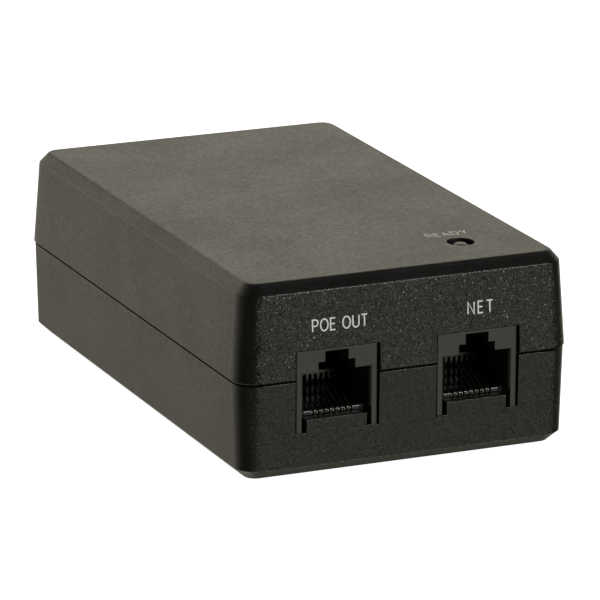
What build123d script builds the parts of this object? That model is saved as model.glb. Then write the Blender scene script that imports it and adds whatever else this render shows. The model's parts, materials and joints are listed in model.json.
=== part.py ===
from build123d import *

import os
from math import cos, radians, sin

os.makedirs("parts", exist_ok=True)

# A power-over-Ethernet injector: a two-shell plastic case with two modular jacks at the
# front (-Y), a mains inlet at the back (+Y) and a switching supply between them.
# Millimetres, +Z up. The origin is the middle of the footprint, on the plane of the feet.

# Case, outside
case_width = 62.6
case_length = 102.4
case_height = 34.6
foot_proud = 0.8
parting_height = 17.4
parting_gap = 0.3
corner_radius = 4.2
top_draft = 1.0
bottom_draft = 0.43
bottom_step_in = 0.22
top_chamfer_in = 1.6
top_rim_round = 0.7
top_chamfer_drop = 1.9
bottom_chamfer_in = 2.0
bottom_chamfer_rise = 1.9
edge_break = 0.25

# Case, inside
wall = 2.0
lip_thickness = 0.9
lip_height = 1.4
lip_clearance = 0.15
cut_out_gap = 0.25
jack_left_gap = 0.12
jack_right_gap = 0.3
jack_over_gap = 0.12
jack_under_gap = 0.08
post_radius = 3.0
peg_radius = 1.5
peg_length = 6.0
peg_clearance = 0.08
socket_height = 12.0
post_x = 25.2
post_y = 44.8

# Levels, counted from the plane of the feet
case_base = foot_proud
parting_z = case_base + parting_height
case_top = case_base + case_height
floor_z = case_base + wall
ceiling_z = case_top - wall
lip_top_z = parting_z - parting_gap + lip_height
socket_top_z = case_base + socket_height

# Main board
board_width = 55.6
board_length = 96.2
board_thickness = 1.6
board_top = case_base + 7.85
board_bottom = board_top - board_thickness
boss_radius = 3.0
screw_radius = 1.25
screw_head_radius = 2.7
screw_points = [(-24.5, -28.0), (24.5, -28.0), (-24.4, 28.5), (24.4, 30.4)]
post_points = [(sx * post_x, sy * post_y) for sx in (-1, 1) for sy in (-1, 1)]

# Modular jacks
jack_places = {"poe": -13.2, "lan": 13.2}
jack_width = 15.24
jack_height = 14.5
jack_depth = 18.0
jack_face_y = 0.55 - case_length / 2
jack_top = board_top + jack_height
plug_half = 6.2
lead_in = 0.3
leg_break = 0.25
plug_depth = 15.5
plug_ceiling = board_top + 10.6
latch_depth = 12.0
latch_wide_half = 3.4
latch_wide_top = board_top + 12.25
latch_narrow_half = 2.15
latch_narrow_top = board_top + 14.1
leg_inner_half = plug_half + lead_in
sill_back = 2.2
sill_top = board_top + 3.25
tab_half = 5.65
tab_top = board_top + 2.25
locating_peg_radius = 1.6

# Jack insert and its spring contacts
contact_count = 8
contact_pitch = 1.02
wire_radius = 0.18
slot_width = 0.54
insert_round = 0.5
insert_half = 5.25
insert_front = jack_face_y + sill_back
insert_back = jack_face_y + jack_depth - 0.35
insert_bottom = board_top + 0.15
insert_deck = board_top + 2.55
comb_back = insert_front + 1.75
riser_front = insert_front + 8.05
riser_slot_back = riser_front + 1.4
riser_top = board_top + 7.5
bend_radius = 0.6
bend_y = insert_front + 0.95
bend_z = board_top + 2.4
spring_angle = 22.0
spring_length = 8.4
tail_bend = 0.5
tail_rows = [jack_face_y + 12.2, jack_face_y + 14.7]

# Indicator lamp
lamp_x = 15.9
lamp_y = -37.8
lamp_radius = 1.6
lamp_round = 1.0
lamp_length = 5.2
lamp_hole_radius = 2.5
lamp_sink = 0.2
lead_radius = 0.25
lead_spacing = 2.54
lead_back_y = -30.8
lead_run_z = case_base + 25.5
lead_bend = 1.0

# Mains inlet
inlet_half = 13.5
inlet_height = 20.0
inlet_depth = 18.0
inlet_face_y = case_length / 2 - 0.3
inlet_back_wall = 2.5
inlet_mid_z = board_top + inlet_height / 2
inlet_cavity_width = 24.4
inlet_cavity_height = 16.6
inlet_key = 4.0
blade_width = 2.0
blade_height = 4.0
blade_tip_y = inlet_face_y - 2.3
blade_places = [(-7.0, -2.0), (0.0, 2.0), (7.0, -2.0)]
flange_half = 15.2
flange_y = (46.2, 47.8)
flange_rise = 21.2

# Component places on the board, x and y
fuse_place = (20.5, 37.0)
varistor_place = (-20.5, 37.0)
x_capacitor_place = (-12.0, 26.5)
choke_place = (13.5, 24.6)
bridge_place = (-2.0, 19.5)
bulk_place = (-17.5, 13.5)
y_capacitor_place = (19.5, 12.5)
optocoupler_place = (-10.8, -16.1)
output_capacitor_places = [(-20.5, -12.0), (-20.5, -0.9)]
output_choke_place = (23.0, -17.2)
magnetics_y = -24.2

# Component sizes
fuse_radius = 4.2
fuse_height = 7.5
varistor_radius = 5.0
y_capacitor_radius = 4.0
disc_thickness = 3.6
disc_lift = 2.0
disc_round = 1.2
disc_lead_radius = 0.4
disc_lead_rise = 4.0
disc_lead_pitch = 5.0
x_capacitor_height = 14.0
ring_radius = 5.2
ring_half_width = 1.7
ring_half_height = 3.0
winding_build = 0.8
winding_arc = 140.0
bridge_half_width = 7.0
bridge_lead_pitch = 3.8
bulk_radius = 8.0
bulk_height = 23.0
output_capacitor_radius = 5.0

# Power devices and the plates they are screwed to
plate_thickness = 1.4
plate_rise = (board_top + 1.0, board_top + 21.0)
tab_hole_z = board_top + 17.2
tab_hole_radius = 1.8
tab_thickness = 1.3
device_half = 5.0
device_thickness = 4.4
device_body = (board_top + 4.0, board_top + 13.2)
device_tab = (board_top + 4.0, board_top + 19.6)
lead_pitch = 2.54
screw_head_height = 1.7
primary_x = 4.0
primary_plate_y = 14.6
primary_plate_span = (-7.0, 14.0)
secondary_y = -2.0
secondary_plate_x = 20.5
secondary_plate_span = (-12.0, 8.0)

# Transformer
trafo_x = 2.0
trafo_y = -2.3
trafo_mid_z = board_top + 11.0
core_half_x = 13.0
core_half_y = 11.0
core_half_z = 4.0
leg_half = 3.5
window_half_x = 8.5
window_outer = 8.0
winding_half_z = 7.9
rail_bottom = board_top + 1.2
trafo_pin_pitch = 4.0


def block(x_range, y_range, z_range, mode=Mode.ADD):
    """A box between two corners, given as its range along each axis."""
    ranges = (x_range, y_range, z_range)
    middle = tuple((low + high) / 2 for low, high in ranges)
    with Locations(middle):
        Box(*(high - low for low, high in ranges), mode=mode)


def post(x, y, radius, z_range, mode=Mode.ADD):
    """An upright cylinder between two heights."""
    upright = (Align.CENTER, Align.CENTER, Align.MIN)
    with Locations((x, y, z_range[0])):
        Cylinder(radius, z_range[1] - z_range[0], align=upright, mode=mode)


def case_loft(sections, mode=Mode.ADD):
    """Straight loft through rounded rectangles: inset from the case outline, corner radius, height."""
    outlines = []
    for inset, radius, z in sections:
        with BuildSketch(Plane.XY.offset(z)) as outline:
            RectangleRounded(case_width - 2 * inset, case_length - 2 * inset, radius)
        outlines.append(outline.sketch.faces()[0])
    loft(outlines, ruled=True, mode=mode)


def around(middle, half):
    """The range of a span given by its middle and half its width."""
    return (middle - half, middle + half)


def contact_xs(jack_x):
    """The eight contact positions across one jack."""
    first = jack_x - contact_pitch * (contact_count - 1) / 2
    return [first + contact_pitch * k for k in range(contact_count)]


# ---------------------------------------------------------------- case

front_cut = (-case_length / 2 - 1, -case_length / 2 + wall + 2)
rear_cut = (case_length / 2 - wall - 2, case_length / 2 + 1)
inlet_cut_half = inlet_half + cut_out_gap
inlet_cut_top = board_top + inlet_height + cut_out_gap



def jack_cut(jack_x):
    """Width of the opening around one jack, which sits close to the left of it."""
    return (jack_x - jack_width / 2 - jack_left_gap, jack_x + jack_width / 2 + jack_right_gap)


with BuildPart() as top_cover:
    case_loft([
        (edge_break, corner_radius - edge_break, parting_z),
        (0, corner_radius, parting_z + edge_break),
        (top_draft, corner_radius - 0.6, case_top - top_chamfer_drop),
        (top_draft + top_chamfer_in, corner_radius - 1.8, case_top),
    ])
    fillet(top_cover.faces().sort_by(Axis.Z)[-1].edges(), top_rim_round)
    case_loft([
        (wall, corner_radius - 1.8, parting_z),
        (wall + top_draft, corner_radius - 2.4, ceiling_z),
    ], mode=Mode.SUBTRACT)
    lip_recess = wall - lip_thickness
    case_loft([
        (lip_recess, corner_radius - 1.0, parting_z - 1),
        (lip_recess, corner_radius - 1.0, lip_top_z + 0.3),
    ], mode=Mode.SUBTRACT)
    for jack_x in jack_places.values():
        over_jack = (parting_z - 1, jack_top + jack_over_gap)
        block(jack_cut(jack_x), front_cut, over_jack, Mode.SUBTRACT)
    block((-inlet_cut_half, inlet_cut_half), rear_cut, (parting_z - 1, inlet_cut_top), Mode.SUBTRACT)
    for x, y in post_points:
        post(x, y, post_radius, (socket_top_z, ceiling_z + 0.5))
        post(x, y, peg_radius, (socket_top_z - peg_length, socket_top_z))
    post(lamp_x, lamp_y, lamp_hole_radius, (ceiling_z - 1, case_top + 1), Mode.SUBTRACT)
top_cover.part.label = "top_cover"
export_step(top_cover.part, "parts/top_cover.step")

foot_x = 21.5
foot_y = 40.5
foot_radius = 4.5
foot_recess = 0.7
foot_points = [(sx * foot_x, sy * foot_y) for sx in (-1, 1) for sy in (-1, 1)]
label_width = 40.0
label_length = 60.0
label_thickness = 0.15
label_recess = 0.2

with BuildPart() as bottom_cover:
    low_inset = bottom_step_in + bottom_draft
    case_loft([
        (low_inset + bottom_chamfer_in, corner_radius - 2.2, case_base),
        (low_inset, corner_radius - 0.7, case_base + bottom_chamfer_rise),
        (bottom_step_in, corner_radius - bottom_step_in, parting_z - parting_gap),
    ])
    lip_outer = wall - lip_thickness + lip_clearance
    case_loft([
        (lip_outer, corner_radius - 1.1, parting_z - parting_gap - 1),
        (lip_outer, corner_radius - 1.1, lip_top_z),
    ])
    case_loft([
        (low_inset + wall, corner_radius - 2.6, floor_z),
        (bottom_step_in + wall, corner_radius - 2.1, parting_z - parting_gap),
        (bottom_step_in + wall, corner_radius - 2.1, lip_top_z + 1),
    ], mode=Mode.SUBTRACT)
    for jack_x in jack_places.values():
        cut_left, cut_right = jack_cut(jack_x)
        block((cut_left, cut_right), front_cut, (tab_top, lip_top_z + 1), Mode.SUBTRACT)
        for slot in ((cut_left, jack_x - tab_half), (jack_x + tab_half, cut_right)):
            block(slot, front_cut, (board_top - jack_under_gap, tab_top), Mode.SUBTRACT)
    inlet_cut = (board_top - 0.15, lip_top_z + 1)
    block((-inlet_cut_half, inlet_cut_half), rear_cut, inlet_cut, Mode.SUBTRACT)
    for x, y in screw_points:
        post(x, y, boss_radius, (floor_z - 0.5, board_bottom))
        post(x, y, screw_radius + 0.03, (floor_z, board_bottom), Mode.SUBTRACT)
    for x, y in post_points:
        post(x, y, post_radius, (floor_z - 0.5, socket_top_z))
        bore = (socket_top_z - peg_length - 0.5, socket_top_z)
        post(x, y, peg_radius + peg_clearance, bore, Mode.SUBTRACT)
    for x, y in foot_points:
        post(x, y, foot_radius + 0.15, (case_base - 1, case_base + foot_recess), Mode.SUBTRACT)
    with BuildSketch(Plane.XY.offset(case_base)):
        RectangleRounded(label_width + 0.4, label_length + 0.4, 1.2)
    extrude(amount=label_recess, mode=Mode.SUBTRACT)
bottom_cover.part.label = "bottom_cover"
export_step(bottom_cover.part, "parts/bottom_cover.step")

with BuildPart() as rubber_feet:
    for x, y in foot_points:
        post(x, y, foot_radius, (0, case_base + foot_recess))
    chamfer(rubber_feet.faces().group_by(Axis.Z)[0].edges(), 0.3)
rubber_feet.part.label = "rubber_feet"
export_step(rubber_feet.part, "parts/rubber_feet.step")

with BuildPart() as rating_label:
    with BuildSketch(Plane.XY.offset(case_base + label_recess)):
        RectangleRounded(label_width, label_length, 1.0)
    extrude(amount=-label_thickness)
rating_label.part.label = "rating_label"
export_step(rating_label.part, "parts/rating_label.step")

with BuildPart() as insulation_sheet:
    with BuildSketch(Plane.XY.offset(floor_z)):
        RectangleRounded(board_width - 2, board_length - 4, 2)
        with Locations(*screw_points, *post_points):
            Circle(boss_radius + 0.5, mode=Mode.SUBTRACT)
    extrude(amount=0.4)
insulation_sheet.part.label = "insulation_sheet"
export_step(insulation_sheet.part, "parts/insulation_sheet.step")

# ---------------------------------------------------------------- board

notch_gap = 0.7
corner_notch = (
    board_width / 2 - post_x + post_radius + notch_gap,
    board_length / 2 - post_y + post_radius + notch_gap,
)
peg_offset = 5.72
peg_row_y = jack_face_y + 9.5
jack_pegs = [(x + side * peg_offset, peg_row_y) for x in jack_places.values() for side in (-1, 1)]

with BuildPart() as main_board:
    with BuildSketch(Plane.XY.offset(board_bottom)):
        Rectangle(board_width, board_length)
        with GridLocations(board_width, board_length, 2, 2):
            Rectangle(2 * corner_notch[0], 2 * corner_notch[1], mode=Mode.SUBTRACT)
        with Locations(*screw_points):
            Circle(screw_radius + 0.35, mode=Mode.SUBTRACT)
        with Locations(*jack_pegs):
            Circle(locating_peg_radius + 0.05, mode=Mode.SUBTRACT)
    extrude(amount=board_thickness)
main_board.part.label = "main_board"
export_step(main_board.part, "parts/main_board.step")

with BuildPart() as board_screws:
    for x, y in screw_points:
        post(x, y, screw_radius, (floor_z + 0.3, board_top))
        post(x, y, screw_head_radius, (board_top, board_top + 1.7))
    heads = board_screws.faces().group_by(Axis.Z)[-1].edges()
    fillet(heads, 0.7)
    for x, y in screw_points:
        cross = (board_top + 0.7, board_top + 2)
        block(around(x, 1.3), around(y, 0.3), cross, Mode.SUBTRACT)
        block(around(x, 0.3), around(y, 1.3), cross, Mode.SUBTRACT)
board_screws.part.label = "board_screws"
export_step(board_screws.part, "parts/board_screws.step")

# ---------------------------------------------------------------- jacks

for jack_name, jack_x in jack_places.items():
    with BuildPart() as jack_housing:
        back_y = jack_face_y + jack_depth
        block(around(jack_x, jack_width / 2), (jack_face_y, back_y), (board_top, jack_top))
        fillet(jack_housing.edges().filter_by(Axis.Z).group_by(Axis.Y)[0], leg_break)
        block(around(jack_x, plug_half), (jack_face_y - 1, jack_face_y + plug_depth),
              (sill_top, plug_ceiling), Mode.SUBTRACT)
        with BuildSketch(Plane.XY.offset(sill_top)):
            with BuildLine():
                Polyline([
                    (jack_x - leg_inner_half, jack_face_y),
                    (jack_x + leg_inner_half, jack_face_y),
                    (jack_x + plug_half, jack_face_y + lead_in),
                    (jack_x - plug_half, jack_face_y + lead_in),
                ], close=True)
            make_face()
        extrude(amount=plug_ceiling - sill_top, mode=Mode.SUBTRACT)
        latch_y = (jack_face_y - 1, jack_face_y + latch_depth)
        for half, top in ((latch_wide_half, latch_wide_top), (latch_narrow_half, latch_narrow_top)):
            block(around(jack_x, half), latch_y, (plug_ceiling - 1, top), Mode.SUBTRACT)
        # Between the legs the face is open below the sill, and the insert slides in from behind.
        block(around(jack_x, leg_inner_half), (jack_face_y - 1, insert_front),
              (board_top - 1, sill_top + 0.1), Mode.SUBTRACT)
        block(around(jack_x, insert_half + 0.06), (insert_front - 1, back_y + 1),
              (board_top - 1, riser_top + 0.08), Mode.SUBTRACT)
        peg_rise = (board_bottom - 0.8, board_top + 0.5)
        for side in (-1, 1):
            post(jack_x + side * peg_offset, peg_row_y, locating_peg_radius, peg_rise)
            block(around(jack_x, insert_half + 0.06), around(peg_row_y, 2.5),
                  (board_bottom - 1, sill_top), Mode.SUBTRACT)
    jack_housing.part.label = f"{jack_name}_jack_housing"
    export_step(jack_housing.part, f"parts/{jack_name}_jack_housing.step")

    with BuildPart() as jack_insert:
        block(around(jack_x, insert_half), (insert_front, insert_back), (insert_bottom, insert_deck))
        block(around(jack_x, insert_half), (insert_front, comb_back), (insert_bottom, sill_top))
        front_edges = jack_insert.edges().filter_by(Axis.X).group_by(Axis.Y)[0]
        fillet(front_edges.sort_by(Axis.Z)[-1], insert_round)
        block(around(jack_x, insert_half), (riser_front, insert_back), (insert_bottom, riser_top))
        for x in contact_xs(jack_x):
            slot = around(x, slot_width / 2)
            block(slot, (insert_front - 1, comb_back), (insert_bottom - 1, sill_top + 1), Mode.SUBTRACT)
            groove_top = bend_z - bend_radius + wire_radius + 0.08
            block(slot, (comb_back - 1, insert_back + 1), (insert_bottom - 1, groove_top), Mode.SUBTRACT)
            block(slot, (riser_front - 1, riser_slot_back), (insert_deck, riser_top - 0.6), Mode.SUBTRACT)
    jack_insert.part.label = f"{jack_name}_jack_insert"
    export_step(jack_insert.part, f"parts/{jack_name}_jack_insert.step")

    # Each contact is one wire. Its free arm turns over the sill and slopes up and back.
    lean = radians(spring_angle)
    bend_low = (bend_y, bend_z - bend_radius)
    bend_high = (bend_y - bend_radius * sin(lean), bend_z + bend_radius * cos(lean))
    half_turn = radians((90 + spring_angle + 270) / 2)
    bend_mid = (bend_y + bend_radius * cos(half_turn), bend_z + bend_radius * sin(half_turn))
    arm_end = (bend_high[0] + spring_length * cos(lean), bend_high[1] + spring_length * sin(lean))

    with BuildPart() as contact_springs:
        for x in contact_xs(jack_x):
            with BuildLine(Plane.YZ.offset(x)) as spring_path:
                ThreePointArc(bend_low, bend_mid, bend_high)
                Line(bend_high, arm_end)
            with BuildSketch(Plane(origin=spring_path.line @ 0, z_dir=spring_path.line % 0)):
                Circle(wire_radius)
            sweep()
    contact_springs.part.label = f"{jack_name}_contact_springs"
    export_step(contact_springs.part, f"parts/{jack_name}_contact_springs.step")

    with BuildPart() as contact_tails:
        for k, x in enumerate(contact_xs(jack_x)):
            tail_y = tail_rows[k % 2]
            with BuildLine(Plane.YZ.offset(x)) as tail_path:
                FilletPolyline(bend_low, (tail_y, bend_low[1]), (tail_y, board_top), radius=tail_bend)
            with BuildSketch(Plane(origin=tail_path.line @ 0, z_dir=tail_path.line % 0)):
                Circle(wire_radius)
            sweep()
    contact_tails.part.label = f"{jack_name}_contact_tails"
    export_step(contact_tails.part, f"parts/{jack_name}_contact_tails.step")

# ---------------------------------------------------------------- indicator lamp

lamp_top = case_top - lamp_sink
lamp_base = lamp_top - lamp_length
lead_xs = [lamp_x - lead_spacing / 2, lamp_x + lead_spacing / 2]

with BuildPart() as power_led:
    post(lamp_x, lamp_y, lamp_radius, (lamp_base, lamp_top))
    fillet(power_led.faces().sort_by(Axis.Z)[-1].edges(), lamp_round)
    post(lamp_x, lamp_y, lamp_radius + 0.4, (lamp_base, lamp_base + 1.0))
power_led.part.label = "power_led"
export_step(power_led.part, "parts/power_led.step")

with BuildPart() as led_leads:
    for x in lead_xs:
        with BuildLine(Plane.YZ.offset(x)) as lead_path:
            FilletPolyline((lamp_y, lamp_base), (lamp_y, lead_run_z), (lead_back_y, lead_run_z),
                           (lead_back_y, board_top), radius=lead_bend)
        with BuildSketch(Plane(origin=lead_path.line @ 0, z_dir=lead_path.line % 0)):
            Circle(lead_radius)
        sweep()
led_leads.part.label = "led_leads"
export_step(led_leads.part, "parts/led_leads.step")

with BuildPart() as led_sleeves:
    for x in lead_xs:
        sleeve = (board_top + 1.5, lead_run_z - lead_bend - 0.5)
        post(x, lead_back_y, 0.75, sleeve)
        post(x, lead_back_y, lead_radius + 0.1, sleeve, Mode.SUBTRACT)
led_sleeves.part.label = "led_sleeves"
export_step(led_sleeves.part, "parts/led_sleeves.step")

# ---------------------------------------------------------------- mains inlet

with BuildPart() as mains_inlet_body:
    inlet_front_y = inlet_face_y - inlet_depth
    block((-inlet_half, inlet_half), (inlet_front_y, inlet_face_y), (board_top, board_top + inlet_height))
    block((-flange_half, flange_half), flange_y, (board_top, board_top + flange_rise))
    with BuildSketch(Plane.XZ.offset(-inlet_face_y)):
        with Locations((0, inlet_mid_z)):
            cavity = Rectangle(inlet_cavity_width, inlet_cavity_height)
        chamfer(cavity.vertices().group_by(Axis.Y)[-1], inlet_key)
        fillet(cavity.vertices().group_by(Axis.Y)[0], 1.5)
    extrude(amount=inlet_depth - inlet_back_wall, mode=Mode.SUBTRACT)
    for x, rise in blade_places:
        block(around(x, blade_width / 2 + 0.04), (inlet_front_y - 1, inlet_front_y + 4),
              around(inlet_mid_z + rise, blade_height / 2 + 0.04), Mode.SUBTRACT)
mains_inlet_body.part.label = "mains_inlet_body"
export_step(mains_inlet_body.part, "parts/mains_inlet_body.step")

with BuildPart() as inlet_pins:
    tail_start = inlet_front_y - 1.7
    for x, rise in blade_places:
        block(around(x, blade_width / 2), (tail_start, blade_tip_y),
              around(inlet_mid_z + rise, blade_height / 2))
    tips = inlet_pins.faces().group_by(Axis.Y)[-1].edges()
    chamfer(tips, 0.5)
    for x, rise in blade_places:
        block(around(x, blade_width / 2), (tail_start, tail_start + 0.9), (board_top, inlet_mid_z + rise))
inlet_pins.part.label = "inlet_pins"
export_step(inlet_pins.part, "parts/inlet_pins.step")

# ---------------------------------------------------------------- mains side of the supply

with BuildPart() as fuse:
    post(*fuse_place, fuse_radius, (board_top, board_top + fuse_height))
    fillet(fuse.faces().sort_by(Axis.Z)[-1].edges(), 0.8)
fuse.part.label = "fuse"
export_step(fuse.part, "parts/fuse.step")

with BuildPart() as varistor:
    x, y = varistor_place
    with BuildSketch(Plane.XZ.offset(-y - disc_thickness / 2)):
        with Locations((x, board_top + varistor_radius + disc_lift)):
            Circle(varistor_radius)
    extrude(amount=disc_thickness)
    fillet(varistor.edges().filter_by(GeomType.CIRCLE), disc_round)
    for lead_x in around(x, disc_lead_pitch / 2):
        post(lead_x, y, disc_lead_radius, (board_top, board_top + disc_lead_rise))
varistor.part.label = "varistor"
export_step(varistor.part, "parts/varistor.step")

with BuildPart() as x_capacitor:
    x, y = x_capacitor_place
    block(around(x, 9.0), around(y, 4.0), (board_top, board_top + x_capacitor_height))
    fillet(x_capacitor.edges().filter_by(Axis.Z), 1.0)
    fillet(x_capacitor.faces().sort_by(Axis.Z)[-1].edges(), 0.6)
x_capacitor.part.label = "x_capacitor"
export_step(x_capacitor.part, "parts/x_capacitor.step")

choke_x, choke_y = choke_place
choke_mid_z = board_top + 1.0 + ring_half_height + winding_build

with BuildPart() as choke_core:
    with BuildSketch(Plane.XZ.offset(-choke_y)):
        with Locations((choke_x + ring_radius, choke_mid_z)):
            Rectangle(2 * ring_half_width, 2 * ring_half_height)
    revolve(axis=Axis((choke_x, choke_y, 0), (0, 0, 1)))
choke_core.part.label = "choke_core"
export_step(choke_core.part, "parts/choke_core.step")

with BuildPart() as choke_windings:
    inner_width = 2 * ring_half_width + 0.1
    inner_height = 2 * ring_half_height + 0.1
    for start in (radians(20), radians(200)):
        outward = (cos(start), sin(start), 0)
        across = (sin(start), -cos(start), 0)
        with BuildSketch(Plane(origin=(choke_x, choke_y, choke_mid_z), x_dir=outward, z_dir=across)):
            with Locations((ring_radius, 0)):
                RectangleRounded(inner_width + 2 * winding_build, inner_height + 2 * winding_build, 0.7)
                Rectangle(inner_width, inner_height, mode=Mode.SUBTRACT)
        revolve(axis=Axis((choke_x, choke_y, 0), (0, 0, 1)), revolution_arc=winding_arc)
choke_windings.part.label = "choke_windings"
export_step(choke_windings.part, "parts/choke_windings.step")

with BuildPart() as bridge_rectifier:
    x, y = bridge_place
    block(around(x, bridge_half_width), around(y, 1.8), (board_top + 3.0, board_top + 13.5))
    chamfer(bridge_rectifier.edges().filter_by(Axis.Y).sort_by(Axis.Z)[-2:].sort_by(Axis.X)[0], 2.0)
    for k in range(4):
        lead_x = x + (k - 1.5) * bridge_lead_pitch
        block(around(lead_x, 0.5), around(y, 0.3), (board_top, board_top + 3.5))
bridge_rectifier.part.label = "bridge_rectifier"
export_step(bridge_rectifier.part, "parts/bridge_rectifier.step")

with BuildPart() as bulk_capacitor:
    post(*bulk_place, bulk_radius, (board_top, board_top + bulk_height))
    fillet(bulk_capacitor.edges().filter_by(GeomType.CIRCLE), 1.0)
    with BuildSketch(Plane.XY.offset(board_top + 3.0)):
        with Locations(bulk_place):
            Circle(bulk_radius + 0.5)
            Circle(bulk_radius - 0.5, mode=Mode.SUBTRACT)
    extrude(amount=0.9, mode=Mode.SUBTRACT)
bulk_capacitor.part.label = "bulk_capacitor"
export_step(bulk_capacitor.part, "parts/bulk_capacitor.step")

# Each power device stands on its leads, screwed by its tab to an upright aluminium plate.
primary_plate = (primary_plate_y, primary_plate_y + plate_thickness)
secondary_plate = (secondary_plate_x, secondary_plate_x + plate_thickness)
plate_foot = (board_top, board_top + 2)
lead_rise = (board_top, board_top + 4.5)
lead_set_back = (2.1, 2.7)

with BuildPart() as primary_heat_sink:
    block(primary_plate_span, primary_plate, plate_rise)
    for x in (primary_plate_span[0] + 1.5, primary_plate_span[1] - 1.5):
        block(around(x, 1.0), primary_plate, plate_foot)
    with BuildSketch(Plane.XZ.offset(-primary_plate[1])):
        with Locations((primary_x, tab_hole_z)):
            Circle(screw_radius + 0.03)
    extrude(amount=plate_thickness, mode=Mode.SUBTRACT)
primary_heat_sink.part.label = "primary_heat_sink"
export_step(primary_heat_sink.part, "parts/primary_heat_sink.step")

with BuildPart() as switching_transistor:
    across = around(primary_x, device_half)
    block(across, (primary_plate_y - device_thickness, primary_plate_y), device_body)
    block(across, (primary_plate_y - tab_thickness, primary_plate_y), device_tab)
    lead_y = (primary_plate_y - lead_set_back[1], primary_plate_y - lead_set_back[0])
    for shift in (-lead_pitch, 0, lead_pitch):
        block(around(primary_x + shift, 0.4), lead_y, lead_rise)
    with BuildSketch(Plane.XZ.offset(-primary_plate_y)):
        with Locations((primary_x, tab_hole_z)):
            Circle(tab_hole_radius)
    extrude(amount=2, mode=Mode.SUBTRACT)
switching_transistor.part.label = "switching_transistor"
export_step(switching_transistor.part, "parts/switching_transistor.step")

with BuildPart() as secondary_heat_sink:
    block(secondary_plate, secondary_plate_span, plate_rise)
    for y in (secondary_plate_span[0] + 1.5, secondary_plate_span[1] - 1.5):
        block(secondary_plate, around(y, 1.0), plate_foot)
    with BuildSketch(Plane.YZ.offset(secondary_plate_x)):
        with Locations((secondary_y, tab_hole_z)):
            Circle(screw_radius + 0.03)
    extrude(amount=plate_thickness, mode=Mode.SUBTRACT)
secondary_heat_sink.part.label = "secondary_heat_sink"
export_step(secondary_heat_sink.part, "parts/secondary_heat_sink.step")

with BuildPart() as output_rectifier:
    across = around(secondary_y, device_half)
    block((secondary_plate_x - device_thickness, secondary_plate_x), across, device_body)
    block((secondary_plate_x - tab_thickness, secondary_plate_x), across, device_tab)
    lead_x = (secondary_plate_x - lead_set_back[1], secondary_plate_x - lead_set_back[0])
    for shift in (-lead_pitch, 0, lead_pitch):
        block(lead_x, around(secondary_y + shift, 0.4), lead_rise)
    with BuildSketch(Plane.YZ.offset(secondary_plate_x - 2)):
        with Locations((secondary_y, tab_hole_z)):
            Circle(tab_hole_radius)
    extrude(amount=2, mode=Mode.SUBTRACT)
output_rectifier.part.label = "output_rectifier"
export_step(output_rectifier.part, "parts/output_rectifier.step")

with BuildPart() as heat_sink_screws:
    places = [
        (Plane.XZ.offset(tab_thickness - primary_plate_y), primary_x, 1),
        (Plane.YZ.offset(secondary_plate_x - tab_thickness), secondary_y, -1),
    ]
    for tab_face, across, outward in places:
        with BuildSketch(tab_face):
            with Locations((across, tab_hole_z)):
                Circle(screw_head_radius)
        extrude(amount=outward * screw_head_height)
        with BuildSketch(tab_face):
            with Locations((across, tab_hole_z)):
                Circle(screw_radius)
        extrude(amount=-outward * (tab_thickness + plate_thickness))
heat_sink_screws.part.label = "heat_sink_screws"
export_step(heat_sink_screws.part, "parts/heat_sink_screws.step")

# ---------------------------------------------------------------- transformer

with BuildPart() as transformer_core:
    block(around(trafo_x, core_half_x), around(trafo_y, core_half_y), around(trafo_mid_z, core_half_z))
    for side in (-1, 1):
        window = sorted((trafo_y + side * leg_half, trafo_y + side * window_outer))
        block(around(trafo_x, window_half_x), window, around(trafo_mid_z, core_half_z + 1), Mode.SUBTRACT)
    chamfer(transformer_core.edges().filter_by(Axis.Z).group_by(Axis.X)[0], 1.0)
    chamfer(transformer_core.edges().filter_by(Axis.Z).group_by(Axis.X)[-1], 1.0)
transformer_core.part.label = "transformer_core"
export_step(transformer_core.part, "parts/transformer_core.step")

with BuildPart() as transformer_bobbin:
    flange_out = window_half_x - 0.2
    flange_in = window_half_x - 1.1
    block(around(trafo_x, flange_out), around(trafo_y, leg_half + 1.0),
          around(trafo_mid_z, core_half_z + 1.0))
    for side in (-1, 1):
        flange = sorted((trafo_x + side * flange_in, trafo_x + side * flange_out))
        block(flange, around(trafo_y, window_outer - 0.2), (rail_bottom, trafo_mid_z + 8.2))
        rail = sorted((trafo_x + side * flange_in, trafo_x + side * core_half_x))
        rail_rise = (rail_bottom, trafo_mid_z - core_half_z - 0.1)
        block(rail, around(trafo_y, core_half_y - 1), rail_rise)
    block(around(trafo_x, window_half_x + 1), around(trafo_y, leg_half + 0.1),
          around(trafo_mid_z, core_half_z + 0.1), Mode.SUBTRACT)
transformer_bobbin.part.label = "transformer_bobbin"
export_step(transformer_bobbin.part, "parts/transformer_bobbin.step")

with BuildPart() as transformer_winding:
    block(around(trafo_x, window_half_x - 1.2), around(trafo_y, window_outer - 0.4),
          around(trafo_mid_z, winding_half_z))
    fillet(transformer_winding.edges().filter_by(Axis.X), 2.0)
    block(around(trafo_x, window_half_x), around(trafo_y, leg_half + 1.05),
          around(trafo_mid_z, core_half_z + 1.05), Mode.SUBTRACT)
transformer_winding.part.label = "transformer_winding"
export_step(transformer_winding.part, "parts/transformer_winding.step")

with BuildPart() as transformer_pins:
    for pin_x in around(trafo_x, core_half_x - 1.5):
        for k in range(5):
            post(pin_x, trafo_y + (k - 2) * trafo_pin_pitch, 0.4, (board_top, rail_bottom))
transformer_pins.part.label = "transformer_pins"
export_step(transformer_pins.part, "parts/transformer_pins.step")

# ---------------------------------------------------------------- output side and data path

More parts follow.
